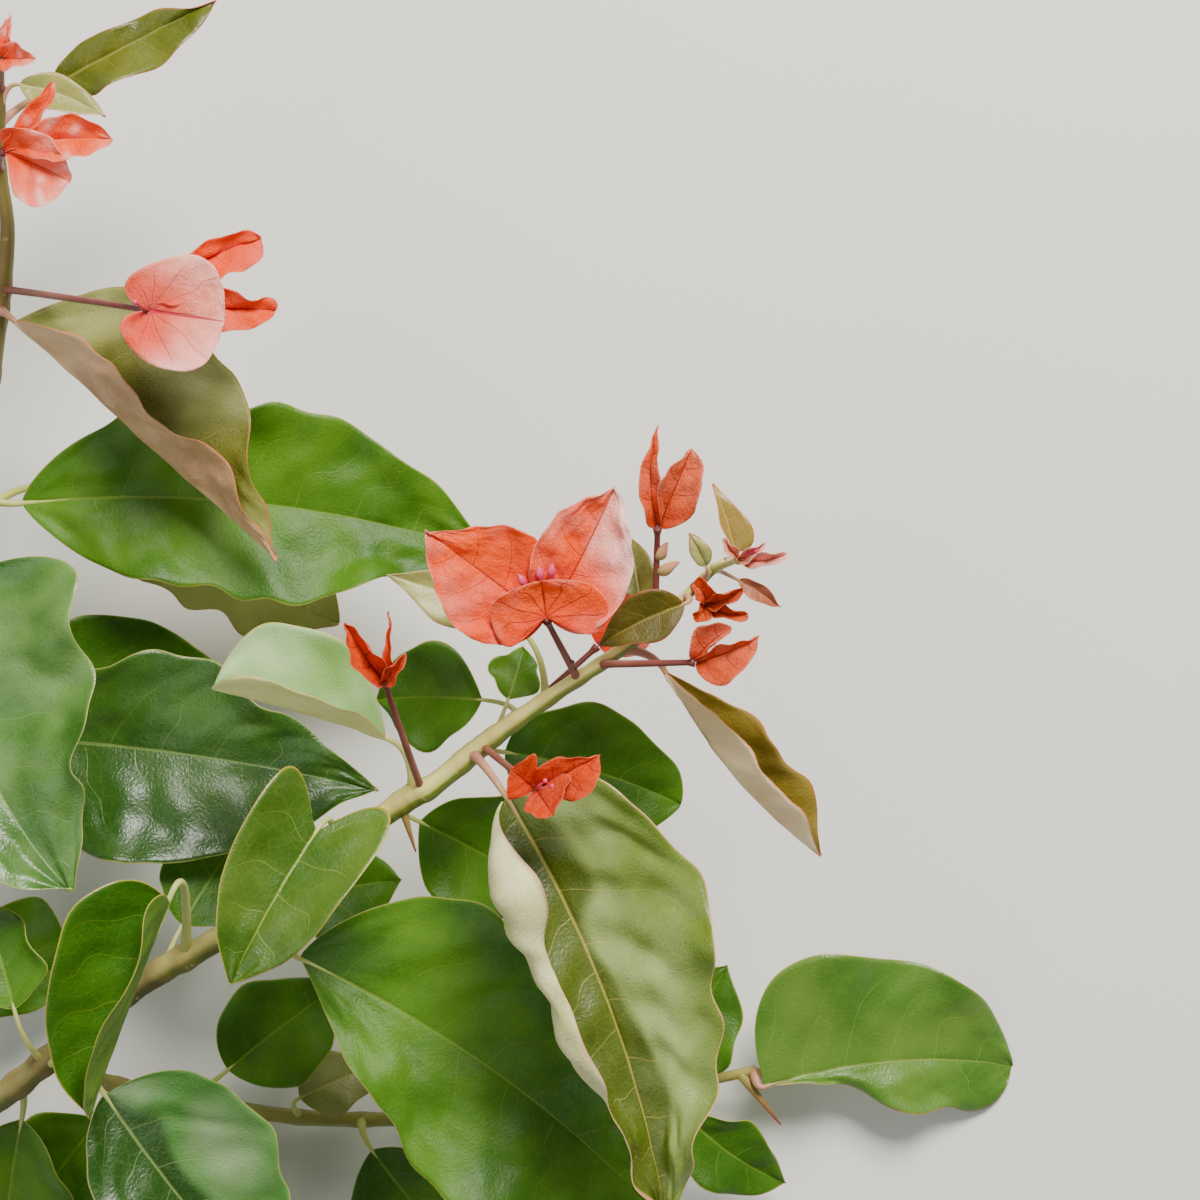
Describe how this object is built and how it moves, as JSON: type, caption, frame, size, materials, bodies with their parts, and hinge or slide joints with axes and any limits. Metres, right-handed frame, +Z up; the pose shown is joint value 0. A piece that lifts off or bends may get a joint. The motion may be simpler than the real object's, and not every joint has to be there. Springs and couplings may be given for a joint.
{
  "type": "cut bougainvillea branch",
  "caption": "Cut flowering bougainvillea branch lying flat: a forked cane with side shoots, broad pointed leaves and clusters of coral-red papery bracts.",
  "frame": {"origin": "middle of the branch's box in X and Y, on the floor that it lies on", "axes": "+Z up from the floor, the branch lies along the XY plane with its cut end towards -X -Y and its flowering tip towards +X +Y"},
  "size_m": [0.2867, 0.2916, 0.1198],
  "materials": {
    "green_stem": "satin",
    "brown_stem": "matte",
    "leaf": "satin",
    "young_leaf": "satin",
    "bract": "matte",
    "dark_bract": "matte"
  },
  "bodies": {
    "root": {"cane": "green_stem", "upright_shoot": "brown_stem", "low_shoot": "green_stem", "leaf_front_long": "leaf", "leaf_cream_folded": "leaf", "leaf_heart": "leaf", "leaf_cupped": "leaf", "leaf_low_left": "leaf", "leaf_edge_long": "leaf", "leaf_back_broad": "leaf", "leaf_back_shade": "leaf", "leaf_upper_broad": "leaf", "leaf_upper_folded": "young_leaf", "leaf_crown": "young_leaf", "leaf_crown_narrow": "young_leaf", "leaf_hanging_narrow": "young_leaf", "leaf_red_edged": "young_leaf", "leaf_tip_up": "young_leaf", "leaf_tip_left": "young_leaf", "leaf_tip_right": "young_leaf", "leaf_small_pale": "young_leaf", "leaf_behind_bloom": "young_leaf", "leaf_back_short": "leaf", "leaf_back_dark": "leaf", "leaf_lower_broad": "leaf", "leaf_right_broad": "leaf", "leaf_right_behind": "leaf", "leaf_right_low": "leaf", "leaf_edge_short": "leaf", "leaf_back_upper": "leaf", "leaf_back_middle": "leaf", "leaf_back_twist": "leaf", "leaf_low_a": "leaf", "leaf_low_b": "young_leaf", "leaf_low_c": "leaf", "leaf_low_d": "leaf", "leaf_low_edge": "leaf", "leaf_low_e": "leaf", "leaf_low_f": "leaf", "leaf_back_lower": "leaf", "leaf_low_g": "leaf", "leaf_edge_low": "leaf", "leaf_behind_cane": "leaf", "leaf_prop": "leaf", "bloom_main": "bract", "bloom_young": "bract", "bloom_bud": "bract", "bloom_curled": "dark_bract", "bloom_half_open": "bract", "bloom_lower": "dark_bract", "bloom_red_bud": "dark_bract", "bloom_round": "bract", "bloom_crown": "bract", "bloom_crown_bud": "bract", "bloom_behind": "bract"}
  },
  "joints": []
}
